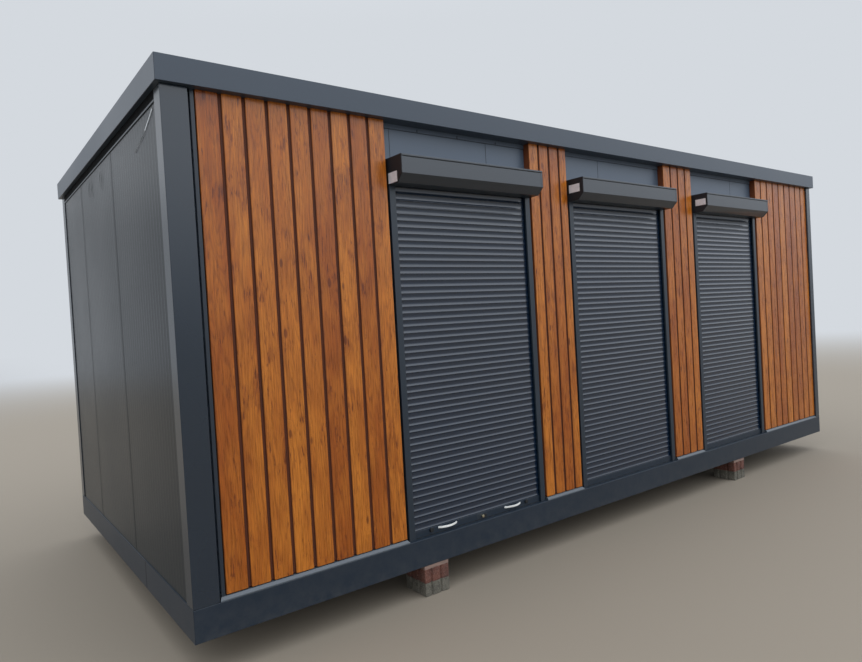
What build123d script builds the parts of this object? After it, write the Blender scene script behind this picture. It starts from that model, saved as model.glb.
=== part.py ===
from build123d import *
import os
from math import pi, tan

# Cabin of container size, with three shuttered doorways and wood effect cladding in its front.
# Millimetres. While it is built, X runs along the front from the left end of the base frame,
# Y runs from the front plane of the base frame to the back, and Z is up from its underside.
# At the end every piece is shifted so that the origin is below the middle, on the ground.

# Main body
LENGTH = 6550
DEPTH = 2940
BASE_HEIGHT = 160
SOFFIT_HEIGHT = 2577
FASCIA_HEIGHT = 123

# Base frame, a ring of steel channels that open inwards
BASE_FLANGE = 150
BASE_SHEET = 5
BASE_JOINT_PLACE = 880
BASE_JOINT_WIDTH = 4
BASE_JOINT_DEPTH = 2
FLOOR_RISE = 10

# Roof rail, the same kind of ring, which shows as the fascia
RAIL_FRONT_OVERHANG = 30
RAIL_END_OVERHANG = 25
RAIL_SOLE = 160
RAIL_COPING = 80
RAIL_SHEET = 4

# Folded corner posts
POST_SHEET = 5
POST_LEFT_FACE = 126
POST_RIGHT_FACE = 76
POST_SIDE_LEG = 100
POST_BACK_LEG = 100

# Sandwich panel walls
WALL = 60
FRONT_WALL_SETBACK = 68
PANEL_JOINT_WIDTH = 4
PANEL_JOINT_DEPTH = 4
SIDE_JOINTS = (1105, 2105)
FRONT_PANEL_MODULE = 1127
FRONT_FIRST_JOINT = 903
HEADER_LIP_DROP = 27
HEADER_LIP_PROUD = 4
WALL_LIP_DROP = 57
WALL_LIP_PROUD = 3

# Roof sheet with ribs from front to back
ROOF_PANEL = 60
ROOF_RIB_HEIGHT = 35
ROOF_RIB_TOP = 30
ROOF_RIB_FOOT = 70
ROOF_RIB_PITCH = 333

# Front layout from left to right: cladding, opening, cladding and so on.
# The two outer stretches of cladding share what the rest leaves of the length.
CLADDING_START = 164
INNER_CLADDING_WIDTHS = (363, 397)
OPENING_WIDTHS = (1161, 1185, 1102)
BOARD_PITCHES = (118, 100, 105, 119)
FIRST_BOARD_EXTRAS = (9, 0, 5, 0)
LEAST_BOARD = 40
CLADDING_SETBACK = 15
CLADDING_LIFT = 5
BOARD_GROOVE = 21
BOARD_GROOVE_DEPTH = 11
BOARD_GROOVE_SLOPE = 5

# Trims at the foot and at the left edge of the cladding
SILL_HEIGHT = 18
SILL_NOSE = 6
SILL_FLARE = 8
SILL_START_GAP = 3
TRIM_GAP = 14
TRIM_FACE = 18
TRIM_SHEET = 3
TRIM_SETBACK = 18

# Roller shutters
SHUTTER_WIDTHS = (1127, 1145, 1050)
GUIDE_WIDTH = 41
GUIDE_DEPTH = 50
GUIDE_FRONT_LIP = 14
GUIDE_BACK_LIP = 22
GUIDE_SLOT_DEPTH = 26
CURTAIN_ENTRY = 20
CURTAIN_PLAY = 0.3
SLAT_PITCH = 38.5
SLAT_THICKNESS = 10
SLAT_FACE_THICKNESS = 6
SLAT_HINGE_THICKNESS = 4
SLAT_HINGE_HEIGHT = 2
SLAT_LIP_HEIGHT = 5
SLAT_SLOPE_TOP = 13
SLAT_HOOK = 2
LIP_BEND = 0.68
CURTAIN_INTO_BOX = 20
BAR_HEIGHT = 44
BAR_THICKNESS = 12
BAR_ROUND = 3
BOX_HEIGHT = 152
BOX_DEPTH = 180
BOX_BEVEL = 46
BOX_SHEET = 3
BOX_DROP = 367
DOOR_HEAD_DROP = 15
BOX_SLOT = 40
BOX_SEAM_DROP = 13
BOX_SEAM = 2
END_PLATE = 4

# Pull handles on the first shutter's bottom bar
HANDLE_LENGTH = 146
HANDLE_BOW = 24
HANDLE_THICKNESS = 5
HANDLE_HEIGHT = 12
HANDLE_OFFSET = 271
HANDLE_RISE = 25

# Stacks of two paving blocks with a board on top
SUPPORT_INSETS = (1400, 1680)
BLOCK_WIDTH = 175
BLOCK_DEPTH = 200
BLOCK_HEIGHT = 80
BLOCK_COURSES = 2
BLOCK_JOINT = 3
BOARD_THICKNESS = 20

# Values worked out from the ones above
CLEARANCE = BLOCK_COURSES * BLOCK_HEIGHT + BOARD_THICKNESS
ROOF_TOP = SOFFIT_HEIGHT + FASCIA_HEIGHT
BOX_FRONT = FRONT_WALL_SETBACK - BOX_DEPTH
BOX_UNDERSIDE = SOFFIT_HEIGHT - BOX_DROP
DOOR_HEAD = BOX_UNDERSIDE - DOOR_HEAD_DROP
BACK_EDGE = DEPTH + RAIL_FRONT_OVERHANG
ORIGIN = Vector(LENGTH / 2, (min(BOX_FRONT, -RAIL_FRONT_OVERHANG) + BACK_EDGE) / 2, -CLEARANCE)
WALL_INSIDE = POST_SHEET + WALL

pieces = {}


def block(x0, x1, y0, y1, z0, z1):
    """A box between two corners."""
    return Pos((x0 + x1) / 2, (y0 + y1) / 2, (z0 + z1) / 2) * Box(x1 - x0, y1 - y0, z1 - z0)


def along_x(outline, x0, x1):
    """An outline of (y, z) points, drawn out from x0 to x1."""
    face = Plane.YZ.offset(x0) * make_face(Polyline(*outline, close=True))
    return extrude(face, amount=x1 - x0, dir=(1, 0, 0))


def along_y(outline, y0, y1):
    """An outline of (x, z) points, drawn out from y0 to y1."""
    face = Plane.XZ.offset(-y0) * make_face(Polyline(*outline, close=True))
    return extrude(face, amount=y1 - y0, dir=(0, 1, 0))


def along_z(outline, z0, z1):
    """An outline of (x, y) points, drawn out from z0 to z1."""
    face = Plane.XY.offset(z0) * make_face(Polyline(*outline, close=True))
    return extrude(face, amount=z1 - z0, dir=(0, 0, 1))


def channel(sole, top, height, sheet):
    """Outline of a folded channel as (inward, up) points, with its web at inward 0."""
    return [
        (0, 0),
        (sole, 0),
        (sole, sheet),
        (sheet, sheet),
        (sheet, height - sheet),
        (top, height - sheet),
        (top, height),
        (0, height),
    ]


def mitred_ring(x0, x1, y0, y1, z0, outline, reach):
    """Four channels that meet in 45 degree mitres, by the side that each closes."""
    corners = {
        "front": [(x0, y0), (x1, y0), (x1 - reach, y0 + reach), (x0 + reach, y0 + reach)],
        "back": [(x0, y1), (x1, y1), (x1 - reach, y1 - reach), (x0 + reach, y1 - reach)],
        "left": [(x0, y0), (x0, y1), (x0 + reach, y1 - reach), (x0 + reach, y0 + reach)],
        "right": [(x1, y0), (x1, y1), (x1 - reach, y1 - reach), (x1 - reach, y0 + reach)],
    }
    height = max(up for _, up in outline)
    bars = {
        "front": along_x([(y0 + into, z0 + up) for into, up in outline], x0, x1),
        "back": along_x([(y1 - into, z0 + up) for into, up in outline], x0, x1),
        "left": along_y([(x0 + into, z0 + up) for into, up in outline], y0, y1),
        "right": along_y([(x1 - into, z0 + up) for into, up in outline], y0, y1),
    }
    return {side: bars[side] & along_z(corners[side], z0, z0 + height) for side in bars}


def deck_outline(width):
    """Section of the floor: it fills the channels' mouths and rises above their top flanges."""
    low, edge, top = BASE_SHEET, BASE_HEIGHT - BASE_SHEET, BASE_HEIGHT + FLOOR_RISE
    return [
        (BASE_SHEET, low),
        (width - BASE_SHEET, low),
        (width - BASE_SHEET, edge),
        (width - BASE_FLANGE, edge),
        (width - BASE_FLANGE, top),
        (BASE_FLANGE, top),
        (BASE_FLANGE, edge),
        (BASE_SHEET, edge),
    ]


def build_frames():
    """The base frame, the floor that it carries, and the roof rail."""
    base = channel(BASE_FLANGE, BASE_FLANGE, BASE_HEIGHT, BASE_SHEET)
    for side, bar in mitred_ring(0, LENGTH, 0, DEPTH, 0, base, BASE_FLANGE).items():
        pieces[f"base_frame_{side}"] = bar
    low, high = BASE_JOINT_PLACE - BASE_JOINT_WIDTH / 2, BASE_JOINT_PLACE + BASE_JOINT_WIDTH / 2
    pieces["base_frame_left"] -= block(0, BASE_JOINT_DEPTH, low, high, 0, BASE_HEIGHT)
    pieces["base_frame_right"] -= block(LENGTH - BASE_JOINT_DEPTH, LENGTH, low, high, 0, BASE_HEIGHT)
    pieces["floor_deck"] = along_x(deck_outline(DEPTH), 0, LENGTH) & along_y(deck_outline(LENGTH), 0, DEPTH)
    rail = channel(RAIL_SOLE, RAIL_COPING, FASCIA_HEIGHT, RAIL_SHEET)
    ring = mitred_ring(
        -RAIL_END_OVERHANG,
        LENGTH + RAIL_END_OVERHANG,
        -RAIL_FRONT_OVERHANG,
        BACK_EDGE,
        SOFFIT_HEIGHT,
        rail,
        RAIL_SOLE,
    )
    for side, bar in ring.items():
        pieces[f"roof_rail_{side}"] = bar


def build_roof():
    """The ribbed roof panel, which lies on the roof rail's sole between its webs."""
    x0 = RAIL_SHEET - RAIL_END_OVERHANG
    x1 = LENGTH - x0
    z0 = SOFFIT_HEIGHT + RAIL_SHEET
    skin = z0 + ROOF_PANEL
    ribs = int((x1 - x0 - RAIL_COPING * 2) // ROOF_RIB_PITCH) + 1
    first = (x0 + x1 - (ribs - 1) * ROOF_RIB_PITCH) / 2
    outline = [(x0, z0), (x0, skin)]
    for rib in range(ribs):
        middle = first + rib * ROOF_RIB_PITCH
        outline += [
            (middle - ROOF_RIB_FOOT / 2, skin),
            (middle - ROOF_RIB_TOP / 2, skin + ROOF_RIB_HEIGHT),
            (middle + ROOF_RIB_TOP / 2, skin + ROOF_RIB_HEIGHT),
            (middle + ROOF_RIB_FOOT / 2, skin),
        ]
    outline += [(x1, skin), (x1, z0)]
    pieces["roof_panel"] = along_y(outline, RAIL_SHEET - RAIL_FRONT_OVERHANG, BACK_EDGE - RAIL_SHEET)


def build_posts():
    """Corner posts: folded angles, of which the front pair turns back to the wall."""
    sheet = POST_SHEET
    for side, face in (("left", POST_LEFT_FACE), ("right", POST_RIGHT_FACE)):
        front = [
            (0, 0),
            (face, 0),
            (face, FRONT_WALL_SETBACK),
            (face - sheet, FRONT_WALL_SETBACK),
            (face - sheet, sheet),
            (sheet, sheet),
            (sheet, POST_SIDE_LEG),
            (0, POST_SIDE_LEG),
        ]
        back = [(0, 0), (POST_BACK_LEG, 0), (POST_BACK_LEG, sheet), (sheet, sheet), (sheet, POST_SIDE_LEG)]
        back += [(0, POST_SIDE_LEG)]
        for end, outline in (("front", front), ("back", back)):
            placed = [
                (x if side == "left" else LENGTH - x, y if end == "front" else DEPTH - y)
                for x, y in outline
            ]
            pieces[f"corner_post_{end}_{side}"] = along_z(placed, BASE_HEIGHT, SOFFIT_HEIGHT)


def panel_joints_x(y_face, inward, places):
    """Cutters for upright panel joints in a wall that runs along X."""
    y0, y1 = sorted((y_face, y_face + inward * PANEL_JOINT_DEPTH))
    half = PANEL_JOINT_WIDTH / 2
    return [block(x - half, x + half, y0, y1, BASE_HEIGHT, SOFFIT_HEIGHT) for x in places]


def panel_joints_y(x_face, inward, places):
    """Cutters for upright panel joints in a wall that runs along Y."""
    x0, x1 = sorted((x_face, x_face + inward * PANEL_JOINT_DEPTH))
    half = PANEL_JOINT_WIDTH / 2
    return [block(x0, x1, y - half, y + half, BASE_HEIGHT, SOFFIT_HEIGHT) for y in places]


def cladding_spans():
    """The (x0, x1) of each stretch of cladding."""
    taken = CLADDING_START + sum(OPENING_WIDTHS) + sum(INNER_CLADDING_WIDTHS) + POST_RIGHT_FACE
    outer = (LENGTH - taken) / 2
    spans = []
    x = CLADDING_START
    for width, opening in zip((outer, *INNER_CLADDING_WIDTHS, outer), OPENING_WIDTHS + (0,)):
        spans.append((x, x + width))
        x += width + opening
    return spans


def opening_spans():
    """The (x0, x1) of each opening between two stretches of cladding."""
    clad = cladding_spans()
    return [(left[1], right[0]) for left, right in zip(clad, clad[1:])]


def shutter_spans():
    """The (x0, x1) of each roller shutter, which stands in the middle of its opening."""
    spans = []
    for (x0, x1), width in zip(opening_spans(), SHUTTER_WIDTHS):
        gap = (x1 - x0 - width) / 2
        spans.append((x0 + gap, x1 - gap))
    return spans


def doorway_spans():
    """The (x0, x1) of each doorway through the front wall, behind its shutter."""
    return [(x0 + GUIDE_WIDTH, x1 - GUIDE_WIDTH) for x0, x1 in shutter_spans()]


def front_joints():
    """Where the front wall's panels meet."""
    count = int((LENGTH - FRONT_FIRST_JOINT) // FRONT_PANEL_MODULE) + 1
    return [FRONT_FIRST_JOINT + step * FRONT_PANEL_MODULE for step in range(count)]


def build_walls():
    """Sandwich panel walls with their upright joints, and the front wall's piers and header."""
    y_back = DEPTH - POST_SHEET
    lip = (SOFFIT_HEIGHT - WALL_LIP_DROP, SOFFIT_HEIGHT)
    lip_ends = (POST_SIDE_LEG, DEPTH - POST_SIDE_LEG)
    left = block(POST_SHEET, WALL_INSIDE, FRONT_WALL_SETBACK, y_back, BASE_HEIGHT, SOFFIT_HEIGHT)
    left = left - panel_joints_y(POST_SHEET, 1, SIDE_JOINTS)
    pieces["left_wall"] = left + block(POST_SHEET - WALL_LIP_PROUD, POST_SHEET, *lip_ends, *lip)
    x_right = LENGTH - POST_SHEET
    right = block(LENGTH - WALL_INSIDE, x_right, FRONT_WALL_SETBACK, y_back, BASE_HEIGHT, SOFFIT_HEIGHT)
    right = right - panel_joints_y(x_right, -1, SIDE_JOINTS)
    pieces["right_wall"] = right + block(x_right, x_right + WALL_LIP_PROUD, *lip_ends, *lip)
    inside = (WALL_INSIDE, LENGTH - WALL_INSIDE)
    back = block(*inside, y_back - WALL, y_back, BASE_HEIGHT, SOFFIT_HEIGHT)
    back = back - panel_joints_x(y_back, -1, front_joints())
    lip_ends = (POST_BACK_LEG, LENGTH - POST_BACK_LEG)
    pieces["back_wall"] = back + block(*lip_ends, y_back, y_back + WALL_LIP_PROUD, *lip)
    face = FRONT_WALL_SETBACK
    edges = [inside[0]]
    for x0, x1 in doorway_spans():
        edges += [x0, x1]
    edges.append(inside[1])
    cutters = panel_joints_x(face, 1, front_joints())
    piers = [
        block(x0, x1, face, face + WALL, BASE_HEIGHT, DOOR_HEAD) - cutters
        for x0, x1 in zip(edges[::2], edges[1::2])
    ]
    pieces["front_wall_piers"] = Compound(children=piers)
    header = block(*inside, face, face + WALL, DOOR_HEAD, SOFFIT_HEIGHT) - cutters
    for x0, x1 in opening_spans():
        lip_bottom = SOFFIT_HEIGHT - HEADER_LIP_DROP
        header += block(x0, x1, face - HEADER_LIP_PROUD, face, lip_bottom, SOFFIT_HEIGHT)
    pieces["front_wall_header"] = header


def board_outline(x0, x1, pitch, extra):
    """Plan of one stretch of cladding: tapered grooves at a pitch, and a last board that is cut to fit."""
    back = FRONT_WALL_SETBACK
    face = CLADDING_SETBACK
    grooves = int((x1 - x0 - extra - LEAST_BOARD) // pitch)
    outline = [(x0, back), (x0, face)]
    for number in range(1, grooves + 1):
        groove = x0 + extra + number * pitch - BOARD_GROOVE
        outline += [
            (groove, face),
            (groove + BOARD_GROOVE_SLOPE, face + BOARD_GROOVE_DEPTH),
            (groove + BOARD_GROOVE - BOARD_GROOVE_SLOPE, face + BOARD_GROOVE_DEPTH),
            (groove + BOARD_GROOVE, face),
        ]
    outline += [(x1, face), (x1, back)]
    return outline


def build_cladding():
    """The board cladding, the sills that it stands on and the trim at its left edge."""
    sill_top = BASE_HEIGHT + SILL_HEIGHT
    sill = [
        (0, BASE_HEIGHT),
        (FRONT_WALL_SETBACK, BASE_HEIGHT),
        (FRONT_WALL_SETBACK, sill_top),
        (CLADDING_SETBACK, sill_top),
        (0, BASE_HEIGHT + SILL_NOSE),
    ]
    first_sill = POST_LEFT_FACE + SILL_START_GAP + SILL_FLARE
    sills = []
    stretches = zip(cladding_spans(), BOARD_PITCHES, FIRST_BOARD_EXTRAS)
    for number, ((x0, x1), pitch, extra) in enumerate(stretches, 1):
        outline = board_outline(x0, x1, pitch, extra)
        pieces[f"cladding_{number}"] = along_z(outline, sill_top + CLADDING_LIFT, SOFFIT_HEIGHT)
        start = first_sill if number == 1 else x0
        nose_end = min(x1 + SILL_FLARE, LENGTH - POST_RIGHT_FACE)
        plan = [
            (start - SILL_FLARE, 0),
            (nose_end, 0),
            (x1, CLADDING_SETBACK),
            (x1, FRONT_WALL_SETBACK),
            (start, FRONT_WALL_SETBACK),
            (start, CLADDING_SETBACK),
        ]
        bar = along_x(sill, start - SILL_FLARE, nose_end)
        sills.append(bar & along_z(plan, BASE_HEIGHT, sill_top))
    pieces["sill_trims"] = Compound(children=sills)
    x0 = POST_LEFT_FACE + TRIM_GAP
    x1 = x0 + TRIM_FACE
    trim = [
        (x0, TRIM_SETBACK),
        (x1, TRIM_SETBACK),
        (x1, FRONT_WALL_SETBACK),
        (x1 - TRIM_SHEET, FRONT_WALL_SETBACK),
        (x1 - TRIM_SHEET, TRIM_SETBACK + TRIM_SHEET),
        (x0, TRIM_SETBACK + TRIM_SHEET),
    ]
    pieces["cladding_edge_trim"] = along_z(trim, sill_top, SOFFIT_HEIGHT)


def guide_pair(x0, x1):
    """Two upright guides with slots that face each other."""
    back = FRONT_WALL_SETBACK
    front = back - GUIDE_DEPTH
    guides = []
    for edge, inward in ((x0, 1), (x1, -1)):
        outline = [
            (0, front),
            (GUIDE_WIDTH, front),
            (GUIDE_WIDTH, front + GUIDE_FRONT_LIP),
            (GUIDE_WIDTH - GUIDE_SLOT_DEPTH, front + GUIDE_FRONT_LIP),
            (GUIDE_WIDTH - GUIDE_SLOT_DEPTH, back - GUIDE_BACK_LIP),
            (GUIDE_WIDTH, back - GUIDE_BACK_LIP),
            (GUIDE_WIDTH, back),
            (0, back),
        ]
        placed = [(edge + inward * x, y) for x, y in outline]
        guides.append(along_z(placed, BASE_HEIGHT, BOX_UNDERSIDE))
    return Compound(children=guides)


def curtain(x0, x1):
    """The closed curtain: one profile of slats, each with a rounded lip at its foot that slopes back."""
    back = FRONT_WALL_SETBACK - GUIDE_BACK_LIP - CURTAIN_PLAY
    front = back - SLAT_THICKNESS
    face = back - SLAT_FACE_THICKNESS
    hinge = back - SLAT_HINGE_THICKNESS
    foot = BASE_HEIGHT + BAR_HEIGHT
    slats = int((BOX_UNDERSIDE + CURTAIN_INTO_BOX - foot) // SLAT_PITCH) + 1
    bend = hinge - (hinge - front) * LIP_BEND
    side = (SLAT_LIP_HEIGHT - SLAT_HINGE_HEIGHT) * (1 - LIP_BEND)
    edges = []
    z = foot
    for _ in range(slats):
        low = z + SLAT_HINGE_HEIGHT
        lip = z + SLAT_LIP_HEIGHT
        slope = z + SLAT_SLOPE_TOP
        top = z + SLAT_PITCH
        edges.append(Line((hinge, z), (hinge, low)))
        edges.append(ThreePointArc((hinge, low), (bend, low + side), (front, lip)))
        edges.append(Polyline((front, lip), (face, slope), (face, top - SLAT_HOOK), (hinge, top)))
        z = top
    edges.append(Polyline((hinge, z), (back, z), (back, foot), (hinge, foot)))
    face = Plane.YZ.offset(x0) * make_face(edges)
    return extrude(face, amount=x1 - x0, dir=(1, 0, 0))


def bottom_bar(x0, x1):
    """The rounded bar under the curtain, which stands on the base frame."""
    back = FRONT_WALL_SETBACK - GUIDE_BACK_LIP - CURTAIN_PLAY
    bar = block(x0, x1, back - BAR_THICKNESS, back, BASE_HEIGHT, BASE_HEIGHT + BAR_HEIGHT)
    front_edges = bar.edges().filter_by(Axis.X).group_by(Axis.Y)[0]
    return fillet(front_edges, min(BAR_ROUND, BAR_THICKNESS / 3))


def box_points():
    """The outer corners of a shutter box as (y, z), from the back of its underside round to the front."""
    back = FRONT_WALL_SETBACK
    bottom = BOX_UNDERSIDE
    return [
        (back, bottom),
        (back, bottom + BOX_HEIGHT),
        (BOX_FRONT, bottom + BOX_HEIGHT),
        (BOX_FRONT, bottom + BOX_BEVEL),
        (BOX_FRONT + BOX_BEVEL, bottom),
    ]


def shutter_box(x0, x1):
    """The folded cover with its bevel, its front seam and the slot for the curtain."""
    sheet = BOX_SHEET
    corner = sheet * tan(pi / 8)
    slot_edge = FRONT_WALL_SETBACK - BOX_SLOT
    (back, bottom), (_, top), (front, _), (_, bevel_top), (bevel_foot, _) = box_points()
    seam = top - BOX_SEAM_DROP
    outline = [
        (back, bottom),
        (back, top),
        (front, top),
        (front, seam),
        (front + BOX_SEAM / 2, seam),
        (front + BOX_SEAM / 2, seam - BOX_SEAM),
        (front, seam - BOX_SEAM),
        (front, bevel_top),
        (bevel_foot, bottom),
        (slot_edge, bottom),
        (slot_edge, bottom + sheet),
        (bevel_foot + corner, bottom + sheet),
        (front + sheet, bevel_top + corner),
        (front + sheet, top - sheet),
        (back - sheet, top - sheet),
        (back - sheet, bottom),
    ]
    return along_x(outline, x0, x1)


def build_shutters():
    """Box, end plates, guides, curtain and bottom bar of each roller shutter."""
    for number, (x0, x1) in enumerate(shutter_spans(), 1):
        inset = GUIDE_WIDTH - CURTAIN_ENTRY
        pieces[f"shutter_guides_{number}"] = guide_pair(x0, x1)
        pieces[f"shutter_curtain_{number}"] = curtain(x0 + inset, x1 - inset)
        pieces[f"shutter_bottom_bar_{number}"] = bottom_bar(x0 + inset, x1 - inset)
        pieces[f"shutter_box_{number}"] = shutter_box(x0 + END_PLATE, x1 - END_PLATE)
        plates = [along_x(box_points(), x, x + END_PLATE) for x in (x0, x1 - END_PLATE)]
        pieces[f"shutter_end_plates_{number}"] = Compound(children=plates)


def pull_handle(middle, y_seat, z):
    """A bowed strip that meets the bottom bar at both ends."""
    half = HANDLE_LENGTH / 2
    inner = half - HANDLE_THICKNESS * 2
    bow = y_seat - HANDLE_BOW
    outer_bow = ThreePointArc((middle - half, y_seat), (middle, bow), (middle + half, y_seat))
    inner_bow = ThreePointArc(
        (middle + inner, y_seat), (middle, bow + HANDLE_THICKNESS), (middle - inner, y_seat)
    )
    feet = [
        Line((middle + half, y_seat), (middle + inner, y_seat)),
        Line((middle - inner, y_seat), (middle - half, y_seat)),
    ]
    face = Plane.XY.offset(z) * make_face([outer_bow, feet[0], inner_bow, feet[1]])
    return extrude(face, amount=HANDLE_HEIGHT, dir=(0, 0, 1))


def build_handles():
    """The pair of pull handles on the first shutter."""
    x0, x1 = shutter_spans()[0]
    seat = FRONT_WALL_SETBACK - GUIDE_BACK_LIP - CURTAIN_PLAY - BAR_THICKNESS
    z = BASE_HEIGHT + HANDLE_RISE
    handles = [pull_handle((x0 + x1) / 2 + side * HANDLE_OFFSET, seat, z) for side in (-1, 1)]
    pieces["shutter_handles"] = Compound(children=handles)


def build_supports():
    """Paving block stacks under the base frame, with a board on each."""
    stacks = []
    boards = []
    half = BLOCK_WIDTH / 2
    for x in (SUPPORT_INSETS[0], LENGTH - SUPPORT_INSETS[1]):
        for y in (0, DEPTH - BLOCK_DEPTH):
            stack = block(x - half, x + half, y, y + BLOCK_DEPTH, -CLEARANCE, -BOARD_THICKNESS)
            for course in range(1, BLOCK_COURSES):
                z = -CLEARANCE + course * BLOCK_HEIGHT
                low, high = z - BLOCK_JOINT / 2, z + BLOCK_JOINT / 2
                ring = block(x - half, x + half, y, y + BLOCK_DEPTH, low, high)
                ring -= block(
                    x - half + BLOCK_JOINT,
                    x + half - BLOCK_JOINT,
                    y + BLOCK_JOINT,
                    y + BLOCK_DEPTH - BLOCK_JOINT,
                    low,
                    high,
                )
                stack -= ring
            stacks.append(stack)
            boards.append(block(x - half, x + half, y, y + BLOCK_DEPTH, -BOARD_THICKNESS, 0))
    pieces["support_blocks"] = Compound(children=stacks)
    pieces["support_boards"] = Compound(children=boards)


build_frames()
build_roof()
build_posts()
build_walls()
build_cladding()
build_shutters()
build_handles()
build_supports()

os.makedirs("parts", exist_ok=True)
for name, piece in pieces.items():
    solids = [Pos(*(-ORIGIN)) * solid for solid in piece.solids()]
    export_step(Compound(children=solids) if len(solids) > 1 else solids[0], f"parts/{name}.step")
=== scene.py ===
"""The looks of the container cabin: its finishes, its small fittings, the studio and the camera.

Everything is in the row frame, in metres: X runs along the front, Y from the front to the back and Z up.
"""

import logging
import math
from collections.abc import Sequence
from dataclasses import dataclass
from enum import Enum

import bmesh
import bpy
from mathutils import Matrix, Vector


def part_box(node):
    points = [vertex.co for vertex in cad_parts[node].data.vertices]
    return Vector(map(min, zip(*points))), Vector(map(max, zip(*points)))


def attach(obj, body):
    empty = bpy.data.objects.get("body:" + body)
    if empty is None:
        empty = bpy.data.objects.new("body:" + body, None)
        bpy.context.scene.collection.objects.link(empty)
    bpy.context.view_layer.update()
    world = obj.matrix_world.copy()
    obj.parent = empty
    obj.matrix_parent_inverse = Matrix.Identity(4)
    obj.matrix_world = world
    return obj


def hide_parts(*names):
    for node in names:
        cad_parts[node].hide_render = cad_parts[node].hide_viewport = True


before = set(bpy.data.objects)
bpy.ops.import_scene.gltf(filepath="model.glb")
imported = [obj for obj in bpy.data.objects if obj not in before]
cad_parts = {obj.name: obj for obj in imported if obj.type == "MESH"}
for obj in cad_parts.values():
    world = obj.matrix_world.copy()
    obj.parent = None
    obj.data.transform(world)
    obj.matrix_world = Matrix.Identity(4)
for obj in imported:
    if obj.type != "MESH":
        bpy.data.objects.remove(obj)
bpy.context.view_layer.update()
LOG = logging.getLogger("cabin")
MM = 0.001
BODY = "root"
# Places along the walls count from the base frame's front left foot.
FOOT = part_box("base_frame_front")[0]
# CAD corners this close are one, and edges that turn by more than this angle are rounded.
WELD_REACH = 0.01 * MM
FOLD_ANGLE = math.radians(30.0)
DISC_SIDES = 28

# The setting that holds a node's mode.
MODES = {
    "Math": "operation",
    "VectorMath": "operation",
    "MapRange": "interpolation_type",
    "TexWhiteNoise": "noise_dimensions",
}

Node = bpy.types.Node
Socket = bpy.types.NodeSocket
Shape = bmesh.types.BMesh
Pair = tuple[float, float]
Triple = tuple[float, float, float]
# A ramp takes a value from the range of its first two numbers to the range of its last two.
Ramp = tuple[float, float, float, float]


class Axis(Enum):
    """The direction in which a pattern or a bar runs."""

    X = 0
    Y = 1
    Z = 2


def linear(code: str) -> tuple[float, float, float, float]:
    """Turns a colour as it shows on a screen into the linear values that a shader takes.

    Args:
        code: sRGB colour as six hex digits.

    Returns:
        Linear red, green and blue with an alpha of 1.
    """
    channels = [int(code[i : i + 2], 16) / 255 for i in (0, 2, 4)]
    red, green, blue = (c / 12.92 if c <= 0.04045 else ((c + 0.055) / 1.055) ** 2.4 for c in channels)
    return (red, green, blue, 1.0)


class Tree:
    """The node tree of a material or of the world, with the position that its patterns use."""

    def __init__(self, owner: bpy.types.ID, coordinates: str = "Object") -> None:
        """Empties the owner's tree.

        Args:
            owner: the material or the world.
            coordinates: the kind of position, as the coordinate node names it.
        """
        owner.use_nodes = True
        self.nodes, self.links = owner.node_tree.nodes, owner.node_tree.links
        self.nodes.clear()
        self.place = self.add("TexCoord").outputs[coordinates]

    def add(self, kind: str, *inputs: object) -> Node:
        """Adds one shader node with its mode and links.

        Args:
            kind: the node's type name after "ShaderNode", and after a dot the mode that it works in.
            *inputs: what its sockets take, in their order or as one dictionary by name: a value, an output
                socket that feeds it, or a node, which stands for its first output.

        Returns:
            The new node.
        """
        kind, _, mode = kind.partition(".")
        node = self.nodes.new("ShaderNode" + kind)
        if mode:
            setattr(node, MODES[kind], mode)
        named = inputs and isinstance(inputs[0], dict)
        for socket, value in inputs[0].items() if named else enumerate(inputs):
            source = value.outputs[0] if isinstance(value, Node) else value
            if isinstance(source, Socket):
                self.links.new(source, node.inputs[socket])
            else:
                node.inputs[socket].default_value = source
        return node

    def pattern(
        self,
        size_mm: float | Triple,
        place: Socket | Node | None = None,
        kind: str = "TexNoise",
        **inputs: float,
    ) -> Node:
        """Adds a pattern whose cells have a real size.

        Args:
            size_mm: the size of a cell, or its three sizes along X, Y and Z.
            place: the position in metres, if it isn't the tree's own.
            kind: the pattern's node type.
            **inputs: the pattern's other inputs.

        Returns:
            The pattern's node.
        """
        place, scale = place or self.place, 1.0
        if isinstance(size_mm, tuple):
            place = self.add("VectorMath.MULTIPLY", place, [1 / (size * MM) for size in size_mm])
        else:
            scale = 1 / (size_mm * MM)
        return self.add(kind, {"Vector": place, "Scale": scale, **inputs})


@dataclass(frozen=True)
class Finish:
    """What every finish shares: a name, and a material that is built once."""

    name: str

    def material(self) -> bpy.types.Material:
        """Builds the material at its first use and finds it again after that.

        Returns:
            The material of that name.
        """
        known = bpy.data.materials.get(self.name)
        if known:
            return known
        made = bpy.data.materials.new(self.name)
        tree = Tree(made)
        tree.add("OutputMaterial", tree.add("BsdfPrincipled", self.shade(tree)))
        return made

    def shade(self, tree: Tree) -> dict:
        """Builds the patterns of the finish.

        Args:
            tree: the material's node tree.

        Returns:
            The Principled shader's inputs, by name.
        """
        raise NotImplementedError


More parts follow.
